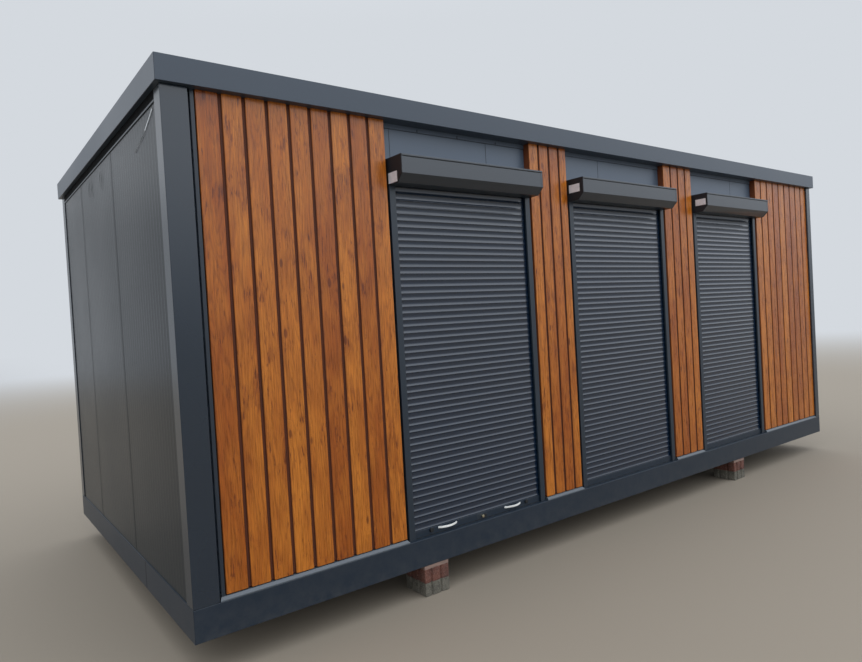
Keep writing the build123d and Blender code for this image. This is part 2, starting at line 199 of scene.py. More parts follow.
@dataclass(frozen=True)
class CoatedSheet(Finish):
    """Steel sheet with a baked coil or powder coat.

    The coat levels out into a satin skin with a faint orange peel. Thin sheet waves a little between its
    folds, and a thin film of dust lies on it near the ground.
    """

    colour: str
    roughness: float
    specular: float = 0.5
    peel_mm: float = 2.5
    peel_depth_mm: float = 0.02
    wave_mm: float = 420.0
    wave_depth_mm: float = 0.3
    rib_mm: float = 0.0
    rib_depth_mm: float = 0.3
    rib_axis: Axis = Axis.Y
    rib_sharpness: float = 6.0
    dust: float = 0.06
    dust_top_mm: float = 420.0
    dust_foot_mm: float = 170.0
    dust_colour: str = "8A8378"
    dust_dullness: float = 0.6
    speck_mm: float = 71.4286
    speck_range: Pair = (0.35, 0.75)
    cloud_mm: float = 909.091
    cloud_range: Pair = (0.3, 0.7)
    tint_range: Pair = (0.95, 1.05)
    gloss_spread: float = 0.03

    def shade(self, tree: Tree) -> dict:
        """Builds the coat, its waves, its ribs and the dust.

        Args:
            tree: the material's node tree.

        Returns:
            The Principled shader's inputs, by name.
        """
        split = tree.add("SeparateXYZ", tree.place)
        cloud = tree.pattern(self.cloud_mm, Detail=3.0, Roughness=0.5)
        tint = tree.add("MapRange", cloud, *self.cloud_range, *self.tint_range)
        paint = tree.add("HueSaturation", {"Color": linear(self.colour), "Value": tint})
        heights = (self.dust_foot_mm * MM, self.dust_top_mm * MM)
        height = tree.add("MapRange", split.outputs["Z"], *heights, 1.0, 0.0)
        specks = tree.pattern(self.speck_mm, Detail=5.0, Roughness=0.7)
        film = tree.add("MapRange", specks, *self.speck_range, 0.0, self.dust)
        amount = tree.add("Math.MULTIPLY", film, height)
        dusty = tree.add("MixRGB", amount, paint, linear(self.dust_colour))
        glosses = (self.roughness - self.gloss_spread, self.roughness + self.gloss_spread)
        sheen = tree.add("MapRange", cloud, *self.cloud_range, *glosses)
        rough = tree.add("Math.MULTIPLY_ADD", amount, self.dust_dullness, sheen)
        peel = tree.pattern(self.peel_mm, Detail=1.0)
        wave = tree.pattern(self.wave_mm, Detail=1.0)
        waves = self.wave_depth_mm / self.peel_depth_mm
        relief = tree.add("Math.MULTIPLY_ADD", wave, waves, peel)
        if self.rib_mm:
            along = split.outputs[self.rib_axis.value]
            rib = tree.add("Math.MULTIPLY", along, 1 / (self.rib_mm * MM))
            tooth = tree.add("Math.PINGPONG", rib, 1.0)
            crest = tree.add("Math.POWER", tooth, self.rib_sharpness)
            ribs = self.rib_depth_mm / self.peel_depth_mm
            relief = tree.add("Math.MULTIPLY_ADD", crest, ribs, relief)
        bump = tree.add("Bump", {"Height": relief, "Distance": self.peel_depth_mm * MM})
        surface = {"Base Color": dusty, "Roughness": rough, "Normal": bump}
        return {**surface, "Specular IOR Level": self.specular}


@dataclass(frozen=True)
class StainedBoards(Finish):
    """Pine boards with a golden oak stain under a satin varnish.

    Flat sawn boards show long arched growth rings, fine upright fibres and a few knots that the rings run
    round. The stain took unevenly, in reddish brown and honey coloured patches. The grooves and the side
    faces at a stretch's ends get painted shade, darker the deeper they lie behind the boards' face.
    """

    start: float
    pitch: float
    face: float
    middle: float
    half: float
    light: str = "BA6E21"
    deep: str = "954C0E"
    red: str = "7A360F"
    dark: str = "521C03"
    # The dark colours of painted shade, in the grooves and on the side faces at a stretch's ends.
    groove: str = "4E2006"
    end: str = "793E1C"
    specular: float = 0.45
    # Each board is cut from another place in the log, up to this far away in metres.
    log_spread: Triple = (9.0, 9.0, 9.0)
    seed_step: float = 17.3
    board_contrast: float = 0.3
    figure_mm: Triple = (142.857, 142.857, 1666.667)
    # A knot goes straight through the board.
    knot_mm: Triple = (90.909, math.inf, 238.095)
    fibre_mm: Triple = (7.14286, 7.14286, 142.857)
    stain_mm: Triple = (111.111, 111.111, 416.667)
    patch_mm: Triple = (71.4286, 71.4286, 200.0)
    tick_mm: Triple = (5.88235, 5.88235, 66.6667)
    knot_rarity: float = 0.6
    knot_bend: float = 0.22
    ring_turns: float = 190.0
    tick_crowding: float = 0.16
    knot_ramp: Ramp = (0.0, 0.4, 1.0, 0.0)
    ring_ramp: Ramp = (0.2, 1.0, 0.0, 0.24)
    tone_ramp: Ramp = (0.42, 0.85, 0.0, 1.0)
    red_ramp: Ramp = (0.5, 0.75, 0.0, 0.6)
    crowd_ramp: Ramp = (0.48, 0.66, 0.0, 1.0)
    tick_ramp: Ramp = (0.66, 0.76, 0.0, 0.75)
    core_ramp: Ramp = (0.8, 0.95, 0.0, 0.7)
    pore_ramp: Ramp = (0.35, 0.65, 0.72, 1.16)
    gloss_ramp: Ramp = (0.3, 0.7, 0.24, 0.36)
    groove_shade_depths: Pair = (1.5 * MM, 5.0 * MM)
    groove_dullness: float = 0.4
    end_skin: float = 2.0 * MM
    relief_depth: float = 0.25 * MM
    relief_strength: float = 0.7
    # The late wood of a ring stands back from the fibres by this share of the relief.
    ring_relief: float = -0.8

    def cut_from_log(self, tree: Tree, across: Socket) -> tuple[Node, Node]:
        """Gives each board a grain and a tone of its own.

        Args:
            tree: the material's node tree.
            across: the place across the boards, in metres.

        Returns:
            The position in the log, and a chance value for each board.
        """
        along = tree.add("Math.SUBTRACT", across, self.start)
        count = tree.add("Math.DIVIDE", along, self.pitch)
        board = tree.add("Math.FLOOR", count)
        seed = tree.add("Math.ADD", board, self.start * self.seed_step)
        chance = tree.add("TexWhiteNoise.1D", {"W": seed})
        shift = tree.add("VectorMath.MULTIPLY", chance.outputs["Color"], self.log_spread)
        return tree.add("VectorMath.ADD", tree.place, shift), chance

    def shade(self, tree: Tree) -> dict:
        """Builds the rings, the knots, the fibres, the stain and the painted shade in the grooves.

        Args:
            tree: the material's node tree.

        Returns:
            The Principled shader's inputs, by name.
        """
        split = tree.add("SeparateXYZ", tree.place)
        log_place, chance = self.cut_from_log(tree, split.outputs["X"])
        # The growth rings, which bend round the knots.
        figure = tree.pattern(self.figure_mm, log_place, Detail=2.0)
        knots = tree.pattern(self.knot_mm, log_place, "TexVoronoi", Randomness=1.0)
        rare = tree.add("SeparateXYZ", knots.outputs["Color"])
        chosen = tree.add("Math.GREATER_THAN", rare, self.knot_rarity)
        near = tree.add("MapRange.SMOOTHERSTEP", knots, *self.knot_ramp)
        near = tree.add("Math.MULTIPLY", near, chosen)
        bent = tree.add("Math.MULTIPLY_ADD", near, self.knot_bend, figure)
        turns = tree.add("Math.MULTIPLY", bent, self.ring_turns)
        ring = tree.add("Math.SINE", turns)
        late = tree.add("MapRange.SMOOTHSTEP", ring, *self.ring_ramp)
        fibre = tree.pattern(self.fibre_mm, log_place, Detail=3.0, Roughness=0.7)
        # The stain, from honey to deep brown, with reddish patches.
        stain = tree.pattern(self.stain_mm, log_place, Detail=4.0, Roughness=0.6)
        tone = tree.add("Math.MULTIPLY_ADD", chance, self.board_contrast, stain)
        tone = tree.add("MapRange", tone, *self.tone_ramp)
        ground = tree.add("MixRGB", tone, linear(self.light), linear(self.deep))
        patch = tree.pattern(self.patch_mm, log_place, Detail=5.0, Roughness=0.7)
        reddened = tree.add("MapRange.SMOOTHSTEP", patch, *self.red_ramp)
        # Short dark ticks, which crowd in the patches, and the cores of the knots.
        tick = tree.pattern(self.tick_mm, log_place, Detail=2.0, Distortion=0.6)
        crowd = tree.add("MapRange", patch, *self.crowd_ramp)
        crowd = tree.add("Math.MULTIPLY_ADD", crowd, self.tick_crowding, tick)
        mark = tree.add("MapRange.SMOOTHSTEP", crowd, *self.tick_ramp)
        core = tree.add("MapRange.SMOOTHSTEP", near, *self.core_ramp)
        core = tree.add("Math.MAXIMUM", core, mark)
        for amount, colour in ((reddened, self.red), (late, self.dark), (core, self.dark)):
            ground = tree.add("MixRGB", amount, ground, linear(colour))
        # Painted shade: the deeper a place lies behind the boards' face, the darker it is painted, darker
        # in the grooves between the boards than at the ends of a stretch of cladding.
        reach = self.half - self.end_skin
        inside = tree.add("Math.COMPARE", split.outputs["X"], self.middle, reach)
        hollow = tree.add("MixRGB", inside, linear(self.end), linear(self.groove))
        depths = [self.face + depth for depth in self.groove_shade_depths]
        depth = tree.add("MapRange.SMOOTHSTEP", split.outputs["Y"], *depths)
        grooved = tree.add("MixRGB", depth, ground, hollow)
        pores = tree.add("MapRange", fibre, *self.pore_ramp)
        fibred = tree.add("HueSaturation", {"Color": grooved, "Value": pores})
        gloss = tree.add("MapRange", fibre, *self.gloss_ramp)
        dull = tree.add("Math.MULTIPLY_ADD", depth, self.groove_dullness, gloss)
        relief = tree.add("Math.MULTIPLY_ADD", late, self.ring_relief, fibre)
        size = {"Distance": self.relief_depth, "Strength": self.relief_strength}
        bump = tree.add("Bump", {"Height": relief, **size})
        surface = {"Base Color": fibred, "Roughness": dull, "Normal": bump}
        return {**surface, "Specular IOR Level": self.specular}


@dataclass(frozen=True)
class RollFormedSlat(Finish):
    """Aluminium strip, stove enamelled and then roll formed into slats.

    The rolls leave faint lengthwise streaks in the half gloss, and each slat's tone differs a little.
    """

    foot: float
    colour: str = "0D1E31"
    # The colour of the painted shade along each slat's hinge line.
    hinge: str = "0C0F13"
    roughness: float = 0.2
    specular: float = 0.85
    pitch: float = 38.5 * MM
    streak_mm: Triple = (333.333, 3.33333, 1.11111)
    streak_depth: float = 0.03 * MM
    streak_range: Pair = (0.3, 0.7)
    tint_ramp: Ramp = (0.0, 1.0, 0.94, 1.05)
    hinge_shade_ramp: Ramp = (0.03, 0.1, 0.7, 0.0)
    gloss_spread: Pair = (-0.05, 0.08)

    def shade(self, tree: Tree) -> dict:
        """Builds the enamel, the rolling streaks and the painted shade along the hinge lines.

        Args:
            tree: the material's node tree.

        Returns:
            The Principled shader's inputs, by name.
        """
        split = tree.add("SeparateXYZ", tree.place)
        streak = tree.pattern(self.streak_mm, Detail=2.0)
        rise = tree.add("Math.SUBTRACT", split.outputs["Z"], self.foot)
        number = tree.add("Math.DIVIDE", rise, self.pitch)
        slat = tree.add("Math.FLOOR", number)
        within = tree.add("Math.FRACT", number)
        chance = tree.add("TexWhiteNoise.1D", {"W": slat})
        tint = tree.add("MapRange", chance, *self.tint_ramp)
        enamel = tree.add("HueSaturation", {"Color": linear(self.colour), "Value": tint})
        # Painted shade: each slat is darkened just above its foot, by the hinge line.
        low = tree.add("MapRange", within, *self.hinge_shade_ramp)
        shaded = tree.add("MixRGB", low, enamel, linear(self.hinge))
        glosses = [self.roughness + spread for spread in self.gloss_spread]
        rough = tree.add("MapRange", streak, *self.streak_range, *glosses)
        bump = tree.add("Bump", {"Height": streak, "Distance": self.streak_depth})
        surface = {"Base Color": shaded, "Roughness": rough, "Normal": bump}
        return {**surface, "Specular IOR Level": self.specular}


@dataclass(frozen=True)
class PressedConcrete(Finish):
    """Concrete pressed into paving blocks.

    Grit shows at its skin as grains and small pits, and the pigment and the damp leave broad blotches.
    """

    colour: str
    blotch: str
    grit: str
    grit_mm: float = 3.0
    blotch_mm: float = 45.4545
    roughness: float = 0.92
    pit_depth: float = 1.2 * MM
    pit_share: float = 0.8
    blotch_ramp: Ramp = (0.42, 0.66, 0.0, 0.85)
    grit_ramp: Ramp = (0.7, 0.95, 0.0, 0.55)

    def shade(self, tree: Tree) -> dict:
        """Builds the blotches, the grains and the pits.

        Args:
            tree: the material's node tree.

        Returns:
            The Principled shader's inputs, by name.
        """
        cloud = tree.pattern(self.blotch_mm, Detail=5.0, Roughness=0.65)
        patch = tree.add("MapRange", cloud, *self.blotch_ramp)
        base = tree.add("MixRGB", patch, linear(self.colour), linear(self.blotch))
        grains = tree.pattern(self.grit_mm, kind="TexVoronoi")
        pick = tree.add("SeparateXYZ", grains.outputs["Color"])
        grain = tree.add("MapRange", pick.outputs["Y"], *self.grit_ramp)
        gritty = tree.add("MixRGB", grain, base, linear(self.grit))
        relief = tree.add("Math.MULTIPLY_ADD", grains, self.pit_share, cloud)
        bump = tree.add("Bump", {"Height": relief, "Distance": self.pit_depth})
        return {"Base Color": gritty, "Roughness": self.roughness, "Normal": bump}


@dataclass(frozen=True)
class SawnSoftwood(Finish):
    """Softwood as it came off the saw, greyed by weather.

    The blade leaves fine cross marks over the grain, and the surface is dull all over.
    """

    colour: str
    grey: str
    roughness: float = 0.85
    grain_mm: Triple = (83.3333, 11.1111, 4.16667)
    weather_mm: float = 55.5556
    grain_depth: float = 0.5 * MM
    grain_ramp: Ramp = (0.35, 0.65, 0.7, 1.12)

    def shade(self, tree: Tree) -> dict:
        """Builds the grain, the grey and the saw marks.

        Args:
            tree: the material's node tree.

        Returns:
            The Principled shader's inputs, by name.
        """
        grain = tree.pattern(self.grain_mm, Detail=4.0)
        weather = tree.pattern(self.weather_mm, Detail=3.0)
        mix = tree.add("MixRGB", weather, linear(self.colour), linear(self.grey))
        value = tree.add("MapRange", grain, *self.grain_ramp)
        wood = tree.add("HueSaturation", {"Color": mix, "Value": value})
        bump = tree.add("Bump", {"Height": grain, "Distance": self.grain_depth})
        return {"Base Color": wood, "Roughness": self.roughness, "Normal": bump}


@dataclass(frozen=True)
class GalvanisedSheet(Finish):
    """Hot dipped steel sheet.

    The zinc froze into spangles, flat crystals a few millimetres wide that each catch the light another way.
    """

    colour: str = "9AA0A3"
    spangle_mm: float = 9.0
    tint_ramp: Ramp = (0.0, 1.0, 0.86, 1.08)
    gloss_ramp: Ramp = (0.0, 1.0, 0.38, 0.55)
    metallic: float = 0.9

    def shade(self, tree: Tree) -> dict:
        """Builds the spangles.

        Args:
            tree: the material's node tree.

        Returns:
            The Principled shader's inputs, by name.
        """
        cells = tree.pattern(self.spangle_mm, kind="TexVoronoi")
        pick = tree.add("SeparateXYZ", cells.outputs["Color"])
        value = tree.add("MapRange", pick.outputs["X"], *self.tint_ramp)
        zinc = tree.add("HueSaturation", {"Color": linear(self.colour), "Value": value})
        rough = tree.add("MapRange", pick.outputs["Y"], *self.gloss_ramp)
        return {"Base Color": zinc, "Roughness": rough, "Metallic": self.metallic}


@dataclass(frozen=True)
class MottledSkin(Finish):
    """What plastic, plated metal and film share: one colour, mottled a little, over a fine relief."""

    colour: str
    roughness: float
    mottle_mm: float = 33.3333
    mottle_detail: float = 3.0
    mottle_ramp: Ramp = (0.35, 0.7, 1.03, 0.88)
    relief_mm: float = 0.8
    relief_detail: float = 2.0
    relief_depth_mm: float = 0.04

    def extras(self) -> dict[str, float]:
        """Gives what else the shader takes."""
        return {}

    def shade(self, tree: Tree) -> dict:
        """Builds the colour and the relief.

        Args:
            tree: the material's node tree.

        Returns:
            The Principled shader's inputs, by name.
        """
        mottle = tree.pattern(self.mottle_mm, Detail=self.mottle_detail)
        value = tree.add("MapRange", mottle, *self.mottle_ramp)
        body = tree.add("HueSaturation", {"Color": linear(self.colour), "Value": value})
        relief = tree.pattern(self.relief_mm, Detail=self.relief_detail)
        bump = tree.add("Bump", {"Height": relief, "Distance": self.relief_depth_mm * MM})
        return {"Base Color": body, "Roughness": self.roughness, "Normal": bump, **self.extras()}


@dataclass(frozen=True)
class MouldedPlastic(MottledSkin):
    """Injection moulded polyamide or rubber.

    It has one colour all through, with a fine spark eroded grain and a soft gloss on its edges.
    """

    specular: float = 0.5

    def extras(self) -> dict[str, float]:
        """Gives the strength of the gloss."""
        return {"Specular IOR Level": self.specular}


@dataclass(frozen=True)
class TurnedMetal(MottledSkin):
    """Nickel plated brass or zinc plated steel, turned on a lathe.

    The tool leaves fine marks that break up the highlight.
    """

    mottle_mm: float = 1.11111
    mottle_detail: float = 2.0
    mottle_ramp: Ramp = (0.0, 1.0, 0.9, 1.05)
    relief_mm: float = 1.11111
    relief_depth_mm: float = 0.02

    def extras(self) -> dict[str, float]:
        """Makes the skin metal."""
        return {"Metallic": 1.0}


@dataclass(frozen=True)
class CastFilm(MottledSkin):
    """Polythene film that was blown and rolled flat.

    It is milky, and creases scatter more light than the flat film beside them.
    """

    mottle_mm: float = 16.6667
    mottle_ramp: Ramp = (0.0, 1.0, 0.8, 1.1)
    relief_mm: float = 16.6667
    relief_detail: float = 3.0
    relief_depth_mm: float = 0.6
    alpha: float = 0.85

    def extras(self) -> dict[str, float]:
        """Gives how much of the wall the film hides."""
        return {"Alpha": self.alpha}


BASE_PAINT = CoatedSheet("base_paint", "172431", 0.4, 0.4, wave_mm=700, wave_depth_mm=0.2, dust=0.1)
POST_PAINT = CoatedSheet("corner_post_paint", "182430", 0.24, 0.65, wave_mm=600, wave_depth_mm=0.15)
FASCIA_COAT = CoatedSheet("fascia_coat", "343F4C", 0.38, wave_mm=700, wave_depth_mm=0.35)
SIDE_COAT = CoatedSheet(
    "side_panel_coat", "20262B", 0.22, 0.08, wave_mm=520, wave_depth_mm=0.8, rib_mm=25, rib_depth_mm=0.5
)
BACK_COAT = CoatedSheet(
    "back_panel_coat", "272E34", 0.3, wave_mm=520, wave_depth_mm=0.7, rib_mm=25, rib_depth_mm=0.2,
    rib_axis=Axis.X,
)
FRONT_COAT = CoatedSheet("front_panel_coat", "505D6D", 0.4, wave_mm=380, wave_depth_mm=0.4)
ROOF_COAT = CoatedSheet("roof_coat", "333B43", 0.5, dust=0.3, dust_top_mm=4000)
# Lighter than the base paint, as painted reflection of the sky on the sill's upward slope.
SILL_COAT_AND_SHEEN = CoatedSheet("sill_coat_and_sheen", "4E555C", 0.34, wave_depth_mm=0.1)
TRIM_COAT = CoatedSheet("trim_coat", "1D2732", 0.38, wave_depth_mm=0.1)
BOX_COAT = CoatedSheet("box_coat", "1F2832", 0.34, 0.8, wave_mm=300, wave_depth_mm=0.2)
GUIDE_COAT = CoatedSheet("guide_coat", "1C2732", 0.36, wave_depth_mm=0.1)
END_COAT = CoatedSheet("end_plate_coat", "1F2024", 0.6, 0.3, peel_mm=1.5, peel_depth_mm=0.05)
HANDLE_PLASTIC = MouldedPlastic("handle_plastic", "E2E2DE", 0.3)
BLACK_RUBBER = MouldedPlastic("black_rubber", "0E1012", 0.7)
# Near black and dull: a seal, darkened to paint the shade in the recess under the roof rail.
FOAM_SEAL_AND_SHADE = MouldedPlastic("foam_seal_and_shade", "0C0D0F", 0.95, relief_mm=2.0, specular=0.1)
CYLINDER_METAL = TurnedMetal("cylinder_metal", "CFC7AE", 0.26)
SCREW_METAL = TurnedMetal("screw_metal", "A9ADB0", 0.35)
BLANK_CARD = MouldedPlastic("blank_card", "D6D3D6", 0.5, relief_mm=1.5)
FILM = CastFilm("cover_film", "DDE1E4", 0.3)
# Near black ribbons that paint the shadow lines of the film scraps' edges and creases.
FILM_SHADOW = CastFilm("film_shadow_paint", "0B0D0F", 0.3, alpha=0.9)
UPPER_BLOCK = PressedConcrete("upper_block_concrete", "61392E", "3A231E", "8A7066")
LOWER_BLOCK = PressedConcrete("lower_block_concrete", "605C52", "3E3C35", "8A867C")
PACKING_WOOD = SawnSoftwood("packing_wood", "94776B", "6E5E56")
ZINC = GalvanisedSheet("galvanised_underside")


def add_piece(
    name: str, slot: str, shape: Shape, finish: Finish, bevel: float = 0.0, *replaced: str
) -> bpy.types.Object:
    """Turns a bmesh into a piece that rides with the cabin.

    Args:
        name: the piece's name.
        slot: a material slot's name, not used.
        shape: its geometry in the row frame, which is freed.
        finish: its finish.
        bevel: radius of its edges, in metres, or 0 to leave them sharp.
        *replaced: CAD nodes that it stands for.

    Returns:
        The new piece.
    """
    bmesh.ops.recalc_face_normals(shape, faces=shape.faces)
    mesh = bpy.data.meshes.new(name)
    shape.to_mesh(mesh)
    shape.free()
    mesh.materials.append(finish.material())
    obj = bpy.data.objects.new(name, mesh)
    bpy.context.scene.collection.objects.link(obj)
    if bevel:
        round_edges(obj, bevel)
    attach(obj, BODY)
    if replaced:
        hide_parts(*replaced)
    LOG.info("piece %s, %d faces", name, len(mesh.polygons))
    return obj


def round_edges(obj: bpy.types.Object, radius: float) -> None:
    """Adds a bevel that breaks an object's sharp edges, as folding or moulding does.

    Args:
        obj: the object.
        radius: width of the bevel, in metres.
    """
    bevel = obj.modifiers.new("edges", "BEVEL")
    bevel.width = radius
    bevel.segments = 2
    bevel.limit_method = "ANGLE"
    bevel.angle_limit = FOLD_ANGLE


def dress(node: str, finish: Finish, bevel: float = 0.0) -> None:
    """Gives a CAD node its finish and, if asked, rounded edges.

    Args:
        node: the CAD node's name.
        finish: its finish.
        bevel: radius of its edges, in metres.
    """
    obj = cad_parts[node]
    for place in obj.material_slots:
        place.material = finish.material()
    if bevel:
        weld = obj.modifiers.new("weld", "WELD")
        weld.merge_threshold = WELD_REACH
        round_edges(obj, bevel)
    LOG.info("node %s in %s", node, finish.name)


def box_into(shape: Shape, one: Sequence[float], other: Sequence[float]) -> None:
    """Adds an axis aligned box to a bmesh.

    Args:
        shape: the bmesh.
        one: any corner of the box.
        other: the corner opposite to it.
    """
    low = Vector([min(ends) for ends in zip(one, other)])
    high = Vector([max(ends) for ends in zip(one, other)])
    place = Matrix.Translation((low + high) / 2) @ Matrix.Diagonal((*(high - low), 1.0))
    bmesh.ops.create_cube(shape, size=1.0, matrix=place)


def prism_into(shape: Shape, outline: list[Pair], low: float, high: float, axis: Axis) -> None:
    """Adds an outline that is drawn out along an axis.

    Args:
        shape: the bmesh.
        outline: points in the plane across the axis, in the order of the two other axes.
        low: where the prism starts along the axis.
        high: where it ends.
        axis: the direction that it is drawn out in.
    """
    rings = []
    for level in (low, high):
        points = [list(point) for point in outline]
        for point in points:
            point.insert(axis.value, level)
        rings.append([shape.verts.new(point) for point in points])
    lower, upper = rings
    shape.faces.new(lower)
    shape.faces.new(reversed(upper))
    for i in range(len(outline)):
        j = (i + 1) % len(outline)
        shape.faces.new((lower[i], upper[i], upper[j], lower[j]))


def disc_into(shape: Shape, centre: Vector, radius: float, depth: float, axis: Axis) -> None:
    """Adds a round disc or pin to a bmesh.

    Args:
        shape: the bmesh.
        centre: its middle.
        radius: its radius.
        depth: its length along the axis.
        axis: the direction of its axis, Y or Z.
    """
    turn = Matrix.Rotation(math.pi / 2 if axis is Axis.Y else 0.0, 4, "X")
    place = Matrix.Translation(centre) @ turn
    bmesh.ops.create_cone(
        shape, cap_ends=True, segments=DISC_SIDES, radius1=radius, radius2=radius, depth=depth, matrix=place
    )


@dataclass
class SteelFrame:
    """The base frame, the corner posts and the fascia of the roof."""

    sides: tuple[str, ...] = ("front", "back", "left", "right")
    base_fold: float = 3.0 * MM
    post_fold: float = 3.0 * MM
    fascia_fold: float = 2.0 * MM
    butt_place: float = 880.0 * MM
    butt_width: float = 4.0 * MM
    butt_rise: float = 0.5 * MM
    butt_foot: float = 32.0 * MM
    butt_head: float = 4.0 * MM

    def dress(self) -> None:
        """Finishes the channels and the posts."""
        for side in self.sides:
            dress(f"base_frame_{side}", BASE_PAINT, self.base_fold)
            dress(f"roof_rail_{side}", FASCIA_COAT, self.fascia_fold)
        for end in self.sides[:2]:
            for side in self.sides[2:]:
                dress(f"corner_post_{end}_{side}", POST_PAINT, self.post_fold)
        dress("floor_deck", ZINC)

    def build_butts(self) -> None:
        """Builds the upright butt joints where each side channel is made of two lengths."""
        shape = bmesh.new()
        low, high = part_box("base_frame_left")
        near, far = (FOOT.y + self.butt_place + side * self.butt_width / 2 for side in (-1, 1))
        for face, sign in ((low.x, -1), (-low.x, 1)):
            outer = face + sign * self.butt_rise
            box_into(shape, (face, near, low.z + self.butt_foot), (outer, far, high.z - self.butt_head))
        add_piece("base_butt_joints", "base_frame", shape, BLACK_RUBBER)


@dataclass
class Roof:
    """The ribbed roof sheet with its screws."""

    screw_radius: float = 9.0 * MM
    screw_height: float = 4.0 * MM
    head_share: float = 0.55
    rib_pitch: float = 333.0 * MM
    rib_margin: float = 160.0 * MM
    screw_rows: int = 5
    edge: float = 120.0 * MM
    fold: float = 2.0 * MM

    def dress(self) -> None:
        """Finishes the sheet."""
        dress("roof_panel", ROOF_COAT, self.fold)

    def build_screws(self) -> None:
        """Puts a row of washered screws along each rib."""
        low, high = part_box("roof_panel")
        ribs = int((high.x - low.x - self.rib_margin) // self.rib_pitch) + 1
        first = (low.x + high.x - (ribs - 1) * self.rib_pitch) / 2
        run = high.y - low.y - 2 * self.edge
        shape = bmesh.new()
        for rib in range(ribs):
            for row in range(self.screw_rows):
                y = low.y + self.edge + run * row / (self.screw_rows - 1)
                spot = Vector((first + rib * self.rib_pitch, y, high.z))
                disc_into(shape, spot, self.screw_radius, self.screw_height / 2, Axis.Z)
                disc_into(shape, spot, self.screw_radius * self.head_share, self.screw_height * 2, Axis.Z)
        add_piece("roof_screws", "roof_sheet", shape, SCREW_METAL)


@dataclass
class PanelWalls:
    """The sandwich panel walls on all four sides, with their joints and the strips under the eaves."""

    clip_places: Triple = (1483 * MM, 1792 * MM, 2116 * MM)
    clip_size: Triple = (5.0 * MM, 2.0 * MM, 15.0 * MM)
    clip_drop: float = 12.0 * MM
    header_joints: tuple[float, ...] = (1282 * MM, 2030 * MM, 3157 * MM, 5058 * MM)
    side_joints: Pair = (1105 * MM, 2105 * MM)
    back_joints: int = 5
    back_first_joint: float = 903 * MM
    panel_module: float = 1127 * MM
    joint_width: float = 3.0 * MM
    joint_rise: float = 0.4 * MM
    joint_head: float = 20.0 * MM
    seal_height: float = 45.0 * MM
    seal_rise: float = 1.0 * MM
    lip_height: float = 10.0 * MM
    lip_rise: float = 2.0 * MM
    lip_edge: float = 0.6 * MM
    # How far below the header's top the painted shadow line under its lip runs.
    lip_shadow_drop: float = 27.0 * MM

    def dress(self) -> None:
        """Finishes the panels."""
        dress("left_wall", SIDE_COAT)
        dress("right_wall", SIDE_COAT)
        dress("back_wall", BACK_COAT)
        dress("front_wall_piers", FRONT_COAT)
        dress("front_wall_header", FRONT_COAT)

    def side_faces(self) -> list[tuple[float, int]]:
        """Gives the outer face of the left and the right wall, each with its outward sign along X."""
        return [(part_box("left_wall")[0].x, -1), (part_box("right_wall")[1].x, 1)]

    def build_clips(self) -> None:
        """Puts the small clips on the header's top strip, over the first shutter box."""
        low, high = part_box("front_wall_header")
        width, rise, height = self.clip_size
        top = high.z - self.clip_drop
        shape = bmesh.new()
        for place in self.clip_places:
            x = FOOT.x + place
            box_into(shape, (x - width / 2, low.y - rise, top - height), (x + width / 2, low.y, top))
        add_piece("header_clips", "front_panel", shape, BLACK_RUBBER, self.lip_edge)

    def build_joints(self) -> None:
        """Draws sealed panel joints and painted shadow under the header's lip as narrow dark beads, just
        proud.
        """
        shape = bmesh.new()
        half = self.joint_width / 2
        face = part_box("front_wall_piers")[0].y
        proud = face - self.joint_rise
        low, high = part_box("front_wall_header")
        for place in self.header_joints:
            x = FOOT.x + place
            box_into(shape, (x - half, proud, low.z), (x + half, face, high.z - self.joint_head))
        # Painted shadow: a dark bead along the foot of the header's lip.
        line = high.z - self.lip_shadow_drop
        box_into(shape, (low.x, proud, line - self.joint_width), (high.x, face, line))
        low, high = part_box("left_wall")
        top = high.z - self.seal_height
        for face, sign in self.side_faces():
            proud = face + sign * self.joint_rise
            for place in self.side_joints:
                y = FOOT.y + place
                box_into(shape, (face, y - half, low.z), (proud, y + half, top))
        low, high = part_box("back_wall")
        for number in range(self.back_joints):
            x = FOOT.x + self.back_first_joint + number * self.panel_module
            top = high.z - self.seal_height
            box_into(shape, (x - half, high.y, low.z), (x + half, high.y + self.joint_rise, top))
        add_piece("panel_joints", "side_panel", shape, BLACK_RUBBER)

    def build_eaves(self) -> None:
        """Builds the foam seal under the roof rail, blackened as painted shade, and the folded lip below, on
        three sides.
        """
        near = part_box("corner_post_front_left")[1].y
        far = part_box("corner_post_back_left")[0].y
        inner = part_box("corner_post_back_left")[1].x
        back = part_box("back_wall")[1].y
        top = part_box("left_wall")[1].z
        middle = top - self.seal_height
        seal, lip = bmesh.new(), bmesh.new()
        low = middle - self.lip_height
        strips = ((seal, self.seal_rise, middle, top), (lip, self.lip_rise, low, middle))
        for face, sign in self.side_faces():
            for shape, rise, foot, head in strips:
                box_into(shape, (face, near, foot), (face + sign * rise, far, head))
        for shape, rise, foot, head in strips:
            box_into(shape, (inner, back, foot), (-inner, back + rise, head))
        add_piece("eaves_seals_and_shade", "side_panel", seal, FOAM_SEAL_AND_SHADE)
        add_piece("eaves_lips", "side_panel", lip, TRIM_COAT, self.lip_edge)


